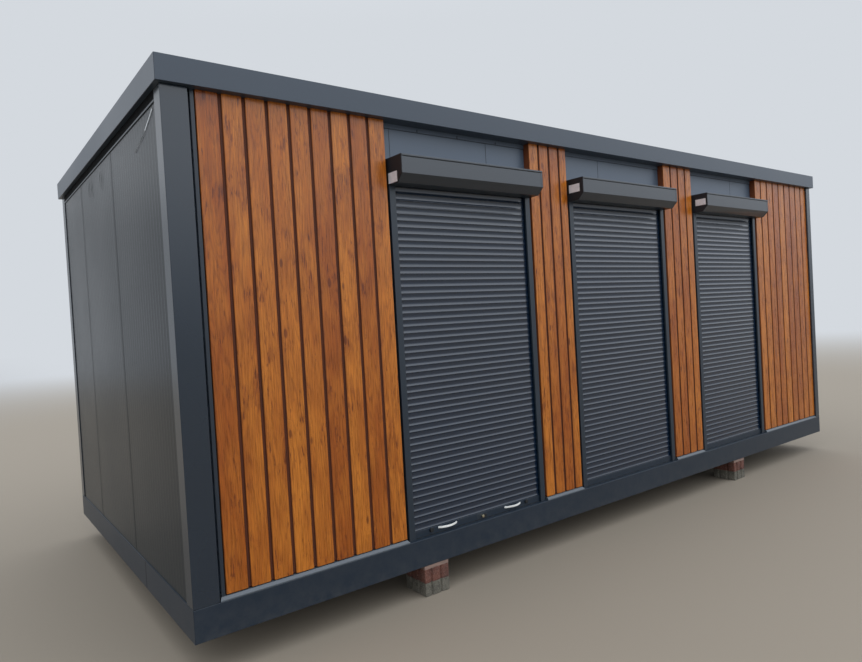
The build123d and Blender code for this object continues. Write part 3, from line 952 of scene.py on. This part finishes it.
@dataclass
class FilmRemnants:
    """Film scraps that still hang on the left wall, and near black ribbons of painted shadow at creases."""

    # Each scrap's middle line, in metres behind and above the base frame's front left foot.
    scraps: tuple[tuple[Pair, ...], ...] = (
        ((0.148, 2.500), (0.200, 2.476), (0.262, 2.452), (0.297, 2.436)),
        ((0.297, 2.436), (0.360, 2.415), (0.440, 2.394), (0.513, 2.379)),
        ((1.372, 2.470), (1.364, 2.420), (1.378, 2.345)),
        ((1.430, 2.480), (1.421, 2.440), (1.435, 2.370)),
        ((1.700, 2.485), (1.712, 2.430), (1.704, 2.361)),
        ((1.800, 2.490), (1.811, 2.440), (1.802, 2.380)),
    )
    widths: tuple[float, ...] = (8.0 * MM, 4.0 * MM, 4.0 * MM, 4.0 * MM, 5.0 * MM, 5.0 * MM)
    edge_lift: float = 0.2 * MM
    low_lift: float = 0.6 * MM
    high_lift: float = 2.0 * MM

    def build(self) -> None:
        """Lays each scrap as a narrow creased ribbon just off the wall's face."""
        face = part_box("left_wall")[0].x
        for number, (line, width) in enumerate(zip(self.scraps, self.widths), 1):
            shape = bmesh.new()
            rows = []
            points = [Vector((0.0, FOOT.y + y, FOOT.z + z)) for y, z in line]
            for i, point in enumerate(points):
                ahead = points[min(i + 1, len(points) - 1)] - points[max(i - 1, 0)]
                across = Vector((0.0, -ahead.z, ahead.y)).normalized() * width / 2
                crease = self.high_lift if i % 2 else self.low_lift
                edge = (point - across, point, point + across)
                lifts = (self.edge_lift, crease, self.edge_lift)
                rows.append([shape.verts.new((face - lift, p.y, p.z)) for p, lift in zip(edge, lifts)])
            for one, two in zip(rows, rows[1:]):
                for i in range(2):
                    shape.faces.new((one[i], one[i + 1], two[i + 1], two[i]))
            # The first scrap is milky film; the others are painted shadow, near black.
            finish = FILM if number == 1 else FILM_SHADOW
            for facet in add_piece(f"film_scrap_{number}", "side_panel", shape, finish).data.polygons:
                facet.use_smooth = True


@dataclass
class Cladding:
    """The grooved boards, the sills under them and the upright trim."""

    pitches: tuple[float, ...] = (118 * MM, 100 * MM, 105 * MM, 119 * MM)
    # How much wider the first board of a stretch is than the others.
    first_extras: tuple[float, ...] = (9 * MM, 0.0, 5 * MM, 0.0)
    groove: float = 21.0 * MM
    edge: float = 3.0 * MM
    trim_edge: float = 0.8 * MM

    def dress(self) -> None:
        """Finishes each stretch of boards by its own spacing, and the trims."""
        for number, (pitch, extra) in enumerate(zip(self.pitches, self.first_extras), 1):
            low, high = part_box(f"cladding_{number}")
            start = low.x + extra - self.groove / 2
            middle, half = (low.x + high.x) / 2, (high.x - low.x) / 2
            boards = StainedBoards(f"stained_boards_{number}", start, pitch, low.y, middle, half)
            dress(f"cladding_{number}", boards, self.edge)
        dress("sill_trims", SILL_COAT_AND_SHEEN, self.trim_edge)
        dress("cladding_edge_trim", TRIM_COAT, self.trim_edge)


@dataclass
class RollerShutter:
    """One closed roller shutter: box, end plates, guides, curtain and bottom bar."""

    number: int
    card_low: Pair = (-66.0 * MM, 2216.0 * MM)
    card_size: Pair = (88.0 * MM, 60.0 * MM)
    card_rise: float = 0.6 * MM
    card_edge: float = 0.2 * MM
    pitch: float = 38.5 * MM
    hinge_depth: float = 4.0 * MM
    guide_depth: float = 50.0 * MM
    box_bevel: float = 46.0 * MM
    box_edge: float = 1.2 * MM
    plate_edge: float = 1.0 * MM
    seal_height: float = 4.0 * MM
    seal_rise: float = 1.0 * MM
    seal_depth: float = 2.0 * MM
    seal_edge: float = 0.6 * MM
    lid_height: float = 10.0 * MM
    lid_rise: float = 2.6 * MM
    seam_height: float = 4.0 * MM
    seam_rise: float = 0.3 * MM
    lap_width: float = 13.0 * MM
    lap_skin: float = 0.8 * MM
    lap_edge: float = 0.3 * MM
    # How far a lap's outer corner moves at a bend of 45 degrees, as a share of its thickness.
    lap_mitre: float = 0.4
    # The slat's front, as heights above its foot and depths in front of the hinge line, in millimetres.
    slat_foot: tuple[Pair, ...] = ((0.0, 0.0), (1.3, 0.0), (1.3, 4.2), (1.8, 5.4), (2.4, 5.9))
    slat_lip: Pair = (3.0, 6.0)
    slat_waist: Pair = (18.0, 2.4)
    slat_top: Pair = (36.6, 5.0)
    slat_head: tuple[Pair, ...] = ((37.4, 3.6), (37.6, 0.0))
    slat_steps: int = 6
    crease_angle: float = math.radians(50)

    def slat_front(self) -> list[Pair]:
        """Gives the front of one slat, which is hollow between its lower lip and its upper edge.

        Returns:
            Points of height above the slat's foot and depth in front of the hinge line, in millimetres.
        """
        points = list(self.slat_foot)
        rise, depth = self.slat_waist
        for step in range(-self.slat_steps, self.slat_steps + 1):
            share = abs(step) / self.slat_steps
            end = self.slat_lip if step < 0 else self.slat_top
            points.append((rise + (end[0] - rise) * share, depth + (end[1] - depth) * share**2))
        return points + list(self.slat_head)

    def build_curtain(self) -> None:
        """Builds the slats over the CAD curtain's place, with rounded lips and open hinge lines."""
        node = f"shutter_curtain_{self.number}"
        low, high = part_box(node)
        hinge = high.y - self.hinge_depth
        line = []
        for slat in range(round((high.z - low.z) / self.pitch)):
            foot = low.z + slat * self.pitch
            line += [(hinge - depth * MM, foot + rise * MM) for rise, depth in self.slat_front()]
        line += [(hinge, high.z), (high.y, high.z), (high.y, low.z)]
        shape = bmesh.new()
        prism_into(shape, line, low.x, high.x, Axis.X)
        enamel = RollFormedSlat(f"slat_enamel_{self.number}", low.z)
        piece = add_piece(f"slats_{self.number}", "shutter_slat", shape, enamel, 0.0, node)
        for face in piece.data.polygons:
            face.use_smooth = len(face.vertices) == 4
        sharp = piece.modifiers.new("sharp", "EDGE_SPLIT")
        sharp.split_angle = self.crease_angle

    def dress(self) -> None:
        """Finishes the CAD nodes that stay."""
        dress(f"shutter_box_{self.number}", BOX_COAT, self.box_edge)
        dress(f"shutter_end_plates_{self.number}", END_COAT, self.plate_edge)
        dress(f"shutter_guides_{self.number}", GUIDE_COAT, self.box_edge)
        dress(f"shutter_bottom_bar_{self.number}", BASE_PAINT)

    def build_seal(self) -> None:
        """Builds the rubber lip at the foot of the bottom bar."""
        low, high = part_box(f"shutter_bottom_bar_{self.number}")
        shape = bmesh.new()
        inner = (high.x, low.y + self.seal_depth, low.z + self.seal_height)
        box_into(shape, (low.x, low.y - self.seal_rise, low.z), inner)
        add_piece(f"bottom_seal_{self.number}", "shutter_slat", shape, BLACK_RUBBER, self.seal_edge)

    def build_box_lips(self) -> None:
        """Builds the end plates' lips that lap over the box's front, bevel and underside."""
        low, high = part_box(f"shutter_box_{self.number}")
        skin = self.lap_skin
        turn = self.box_bevel - skin * self.lap_mitre
        back = high.y - self.guide_depth
        top = high.z - self.lid_height - self.seam_height
        outline = [
            (low.y - skin, top),
            (low.y - skin, low.z + turn),
            (low.y + turn, low.z - skin),
            (back, low.z - skin),
            (back, low.z),
            (low.y + self.box_bevel, low.z),
            (low.y, low.z + self.box_bevel),
            (low.y, top),
        ]
        shape = bmesh.new()
        for start in (low.x, high.x - self.lap_width):
            prism_into(shape, outline, start, start + self.lap_width, Axis.X)
        add_piece(f"box_lips_{self.number}", "shutter_box", shape, BOX_COAT, self.lap_edge)

    def build_box_seam(self) -> None:
        """Builds the lid's folded edge along the top of the box's front, with the dark seam under it."""
        low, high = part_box(f"shutter_box_{self.number}")
        fold = high.z - self.lid_height
        lid, seam = bmesh.new(), bmesh.new()
        box_into(lid, (low.x, low.y - self.lid_rise, fold), (high.x, low.y, high.z))
        box_into(seam, (low.x, low.y - self.seam_rise, fold - self.seam_height), (high.x, low.y, fold))
        add_piece(f"box_lid_edge_{self.number}", "shutter_box", lid, BOX_COAT, self.box_edge)
        add_piece(f"box_seam_{self.number}", "shutter_box", seam, BLACK_RUBBER)

    def build_blank_card(self) -> None:
        """Builds the blank card on the left end plate."""
        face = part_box(f"shutter_end_plates_{self.number}")[0].x
        y, z = FOOT.y + self.card_low[0], FOOT.z + self.card_low[1]
        width, height = self.card_size
        shape = bmesh.new()
        box_into(shape, (face - self.card_rise, y, z), (face, y + width, z + height))
        add_piece(f"blank_card_{self.number}", "shutter_end", shape, BLANK_CARD, self.card_edge)

    def build(self) -> None:
        """Builds and finishes the whole shutter."""
        self.dress()
        self.build_curtain()
        self.build_seal()
        self.build_box_lips()
        self.build_box_seam()
        self.build_blank_card()


@dataclass
class BarFittings:
    """The lock, the stops and the handles on the first shutter's bottom bar."""

    handle_edge: float = 1.2 * MM
    lock_place: float = 1800.0 * MM
    plate: Triple = (88.0 * MM, 1.2 * MM, 34.0 * MM)
    plate_edge: float = 0.8 * MM
    barrel: Pair = (9.0 * MM, 14.0 * MM)
    key_bar: Triple = (2.4 * MM, 1.5 * MM, 10.0 * MM)
    key_rise: float = 1.0 * MM
    cover: Pair = (10.0 * MM, 5.0 * MM)
    cover_offset: Pair = (27.0 * MM, -2.0 * MM)
    stop: Pair = (13.0 * MM, 12.0 * MM)
    stop_places: Pair = (1399.0 * MM, 2188.0 * MM)
    stop_rise: float = 30.0 * MM
    stop_edge: float = 2.0 * MM
    edge: float = 1.0 * MM

    def build(self) -> None:
        """Builds the fittings and finishes the handles."""
        dress("shutter_handles", HANDLE_PLASTIC, self.handle_edge)
        low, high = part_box("shutter_bottom_bar_1")
        front, z = low.y, (low.z + high.z) / 2
        x = FOOT.x + self.lock_place
        shape = bmesh.new()
        width, rise, height = self.plate
        box_into(shape, (x - width / 2, front - rise, z - height / 2), (x + width / 2, front, z + height / 2))
        add_piece("lock_plate", "shutter_slat", shape, GUIDE_COAT, self.plate_edge)
        shape = bmesh.new()
        radius, length = self.barrel
        disc_into(shape, Vector((x, front - length / 2, z)), radius, length, Axis.Y)
        width, depth, height = self.key_bar
        tip = front - length - self.key_rise
        box_into(shape, (x - width / 2, tip, z - height / 2), (x + width / 2, tip + depth, z + height / 2))
        add_piece("lock_cylinder", "shutter_slat", shape, CYLINDER_METAL, self.edge)
        shape = bmesh.new()
        radius, length = self.cover
        right, up = self.cover_offset
        disc_into(shape, Vector((x + right, front - length / 2, z + up)), radius, length, Axis.Y)
        add_piece("lock_cover", "shutter_slat", shape, BLACK_RUBBER, self.edge)
        shape = bmesh.new()
        radius, length = self.stop
        for place in self.stop_places:
            spot = Vector((FOOT.x + place, front - length / 2, low.z + self.stop_rise))
            disc_into(shape, spot, radius, length, Axis.Y)
        add_piece("bar_stops", "shutter_slat", shape, BLACK_RUBBER, self.stop_edge)


@dataclass
class Supports:
    """The four stacks that the cabin stands on: two ribbed paving blocks and a packing board each."""

    size: Pair = (175 * MM, 200 * MM)
    block_height: float = 80 * MM
    courses: int = 2
    course_gap: float = 1.0 * MM
    notch_width: float = 16 * MM
    notch_depth: float = 9 * MM
    notch_places: Pair = (0.27, 0.66)
    # A notch's corners, as shares of its width along the side and of its depth into the block.
    notch_shape: tuple[Pair, ...] = ((-0.5, 0.0), (-0.25, 1.0), (0.25, 1.0), (0.5, 0.0))
    edge: float = 5.0 * MM
    board_edge: float = 1.0 * MM

    def outline(self, x: float, y: float) -> list[Pair]:
        """Gives one block's plan, a rectangle with two upright notches in each side.

        Args:
            x: the left side of the block.
            y: its front.

        Returns:
            Points (x, y) round the block.
        """
        width, depth = self.size
        corners = [(x, y), (x + width, y), (x + width, y + depth), (x, y + depth)]
        points = []
        for (ax, ay), (bx, by) in zip(corners, corners[1:] + corners[:1]):
            length = math.hypot(bx - ax, by - ay)
            ux, uy = (bx - ax) / length, (by - ay) / length
            points.append((ax, ay))
            for place in self.notch_places:
                for step, share in self.notch_shape:
                    run = length * place + step * self.notch_width
                    inset = share * self.notch_depth
                    points.append((ax + ux * run - uy * inset, ay + uy * run + ux * inset))
        return points

    def build(self) -> None:
        """Builds the blocks over the CAD stacks' places and finishes the boards."""
        low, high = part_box("support_blocks")
        width, depth = self.size
        shape = bmesh.new()
        for x in (low.x, high.x - width):
            for y in (low.y, high.y - depth):
                plan = self.outline(x, y)
                for course in range(self.courses):
                    foot = low.z + course * self.block_height
                    prism_into(shape, plan, foot + course * self.course_gap, foot + self.block_height, Axis.Z)
        piece = add_piece("paving_blocks", "paving_block", shape, LOWER_BLOCK, self.edge, "support_blocks")
        piece.data.materials.append(UPPER_BLOCK.material())
        for face in piece.data.polygons:
            face.material_index = int(face.center.z > low.z + self.block_height)
        dress("support_boards", PACKING_WOOD, self.board_edge)


@dataclass(frozen=True)
class SoftLamp:
    """One softbox: its place, its size and the light that leaves it."""

    name: str
    place: Triple
    aim: Triple
    size: Pair
    radiance: float

    def build(self) -> None:
        """Builds the softbox, which lights the cabin but isn't seen itself."""
        lamp = bpy.data.lights.new(self.name, "AREA")
        lamp.shape = "RECTANGLE"
        lamp.size, lamp.size_y = self.size
        lamp.energy = self.radiance * math.pi * self.size[0] * self.size[1]
        obj = bpy.data.objects.new(self.name, lamp)
        bpy.context.scene.collection.objects.link(obj)
        obj.location = self.place
        obj.rotation_mode = "QUATERNION"
        obj.rotation_quaternion = (Vector(self.aim) - Vector(self.place)).to_track_quat("-Z", "Y")
        obj.visible_camera = False


@dataclass
class Studio:
    """A pale floor that fades into a pale backdrop, under one large softbox.

    The ramps take a direction's X, Y or Z to a share or a gain of the light that comes from there.
    """

    backdrop: str = "D4D9DF"
    zenith: str = "E6EDF6"
    floor: str = "857B6D"
    floor_roughness: float = 0.85
    floor_radius: float = 70.0
    floor_edges: int = 96
    floor_fade: Ramp = (9.0, 30.0, 0.0, 1.0)
    low_gain: float = 0.7
    high_gain: float = 2.45
    back_gain: float = 1.8
    left_weight: float = 0.75
    front_ramp: Ramp = (0.3, -0.4, 0.0, 1.0)
    side_range: Pair = (-0.35, 0.06)
    side_gain: float = 0.75
    climb_ramp: Ramp = (0.4, 0.95, 0.0, 1.0)
    rise_range: Pair = (-0.02, 0.28)
    lift_range: Pair = (0.14, 0.24)
    lamp: SoftLamp = SoftLamp("top_softbox", (0.0, -3.0, 9.0), (0.0, 0.0, 1.0), (12.0, 7.0), 0.3)

    def facing(self, tree: Tree, split: Node) -> tuple[Node, Node]:
        """Tells how far a direction points to the front, and how bright it is for its place left or right.

        Args:
            tree: the node tree.
            split: the node that gives the direction's X, Y and Z.

        Returns:
            The share of the front's light, from 0 to 1, and the gain of the left side.
        """
        left = tree.add("Math.MINIMUM", split.outputs["X"], 0.0)
        depth = split.outputs["Y"]
        ahead = tree.add("Math.MULTIPLY_ADD", left, self.left_weight, depth)
        front = tree.add("MapRange.SMOOTHSTEP", ahead, *self.front_ramp)
        side = tree.add("MapRange.SMOOTHSTEP", split.outputs["X"], *self.side_range, self.side_gain)
        return front, side

    def build_floor(self) -> None:
        """Builds the floor, which keeps the object's shadow near it and fades out far from it."""
        shape = bmesh.new()
        bmesh.ops.create_circle(shape, cap_ends=True, segments=self.floor_edges, radius=self.floor_radius)
        mesh = bpy.data.meshes.new("studio_floor")
        shape.to_mesh(mesh)
        shape.free()
        floor = bpy.data.objects.new("studio_floor", mesh)
        bpy.context.scene.collection.objects.link(floor)
        paint = bpy.data.materials.new("studio_floor_paint")
        tree = Tree(paint)
        distance = tree.add("VectorMath.LENGTH", tree.place).outputs["Value"]
        amount = tree.add("MapRange.SMOOTHSTEP", distance, *self.floor_fade)
        surface = {"Base Color": linear(self.floor), "Roughness": self.floor_roughness}
        near = tree.add("BsdfPrincipled", surface)
        direction = tree.add("VectorMath.NORMALIZE", tree.place)
        front, side = self.facing(tree, tree.add("SeparateXYZ", direction))
        horizon = tree.add("MapRange", front, 0.0, 1.0, 1.0, self.low_gain)
        level = tree.add("Math.MULTIPLY", horizon, side)
        far = tree.add("Emission", {"Color": linear(self.backdrop), "Strength": level})
        tree.add("OutputMaterial", tree.add("MixShader", amount, near, far))
        mesh.materials.append(paint)

    def build_light(self) -> None:
        """Builds the softbox and the world, which is brightest overhead and high on the front side."""
        world = bpy.data.worlds.new("studio_world")
        bpy.context.scene.world = world
        tree = Tree(world, "Generated")
        split = tree.add("SeparateXYZ", tree.place)
        height = split.outputs["Z"]
        climb = tree.add("MapRange.SMOOTHSTEP", height, *self.climb_ramp)
        sky = tree.add("MixRGB", climb, linear(self.backdrop), linear(self.zenith))
        front, side = self.facing(tree, split)
        glow = tree.add("Math.MAXIMUM", front, climb)
        gains = (self.low_gain, self.high_gain)
        rise = tree.add("MapRange.SMOOTHSTEP", height, *self.rise_range, *gains)
        lift = tree.add("MapRange.SMOOTHSTEP", height, *self.lift_range, 1.0, self.back_gain)
        back = tree.add("MapRange.SMOOTHSTEP", split.outputs["X"], *self.side_range, lift, 1.0)
        strength = tree.add("MapRange", glow, 0.0, 1.0, back, rise)
        level = tree.add("Math.MULTIPLY", strength, side)
        surface = tree.add("Background", {"Color": sky, "Strength": level})
        tree.add("OutputWorld", surface)
        self.lamp.build()


@dataclass
class PhotoCamera:
    """The camera where the photograph was taken from, with its angles in radians."""

    place: Triple = (-4.1262, -4.4983, 1.6254)
    yaw: float = 0.6446
    pitch: float = -0.0208
    roll: float = -0.0570
    lens: float = 27.195
    sensor_width: float = 36.0

    def build(self) -> None:
        """Builds the camera and makes it the scene's own."""
        data = bpy.data.cameras.new("photo_camera")
        data.sensor_width = self.sensor_width
        data.sensor_fit = "HORIZONTAL"
        data.lens = self.lens
        camera = bpy.data.objects.new("photo_camera", data)
        bpy.context.scene.collection.objects.link(camera)
        flat = math.cos(self.pitch)
        ahead = Vector((math.sin(self.yaw) * flat, math.cos(self.yaw) * flat, math.sin(self.pitch)))
        right = Vector((math.cos(self.yaw), -math.sin(self.yaw), 0.0))
        up = right.cross(ahead)
        turned_right = right * math.cos(self.roll) + up * math.sin(self.roll)
        turned_up = up * math.cos(self.roll) - right * math.sin(self.roll)
        turn = Matrix((turned_right, turned_up, -ahead)).transposed()
        camera.matrix_world = Matrix.Translation(Vector(self.place)) @ turn.to_4x4()
        bpy.context.scene.camera = camera


def main() -> None:
    """Builds the cabin's looks, the studio and the camera in order."""
    logging.basicConfig(level=logging.INFO, format="%(name)s: %(message)s")
    bpy.context.scene.view_settings.view_transform = "Standard"
    steel = SteelFrame()
    steel.dress()
    steel.build_butts()
    roof = Roof()
    roof.dress()
    roof.build_screws()
    walls = PanelWalls()
    walls.dress()
    walls.build_clips()
    walls.build_joints()
    walls.build_eaves()
    FilmRemnants().build()
    Cladding().dress()
    RollerShutter(1).build()
    RollerShutter(2, card_low=(-82.0 * MM, 2266.0 * MM), card_size=(95.0 * MM, 56.0 * MM)).build()
    RollerShutter(3, card_low=(-98.0 * MM, 2264.0 * MM), card_size=(93.0 * MM, 52.0 * MM)).build()
    BarFittings().build()
    Supports().build()
    studio = Studio()
    studio.build_floor()
    studio.build_light()
    PhotoCamera().build()


if __name__ == "__main__":
    main()
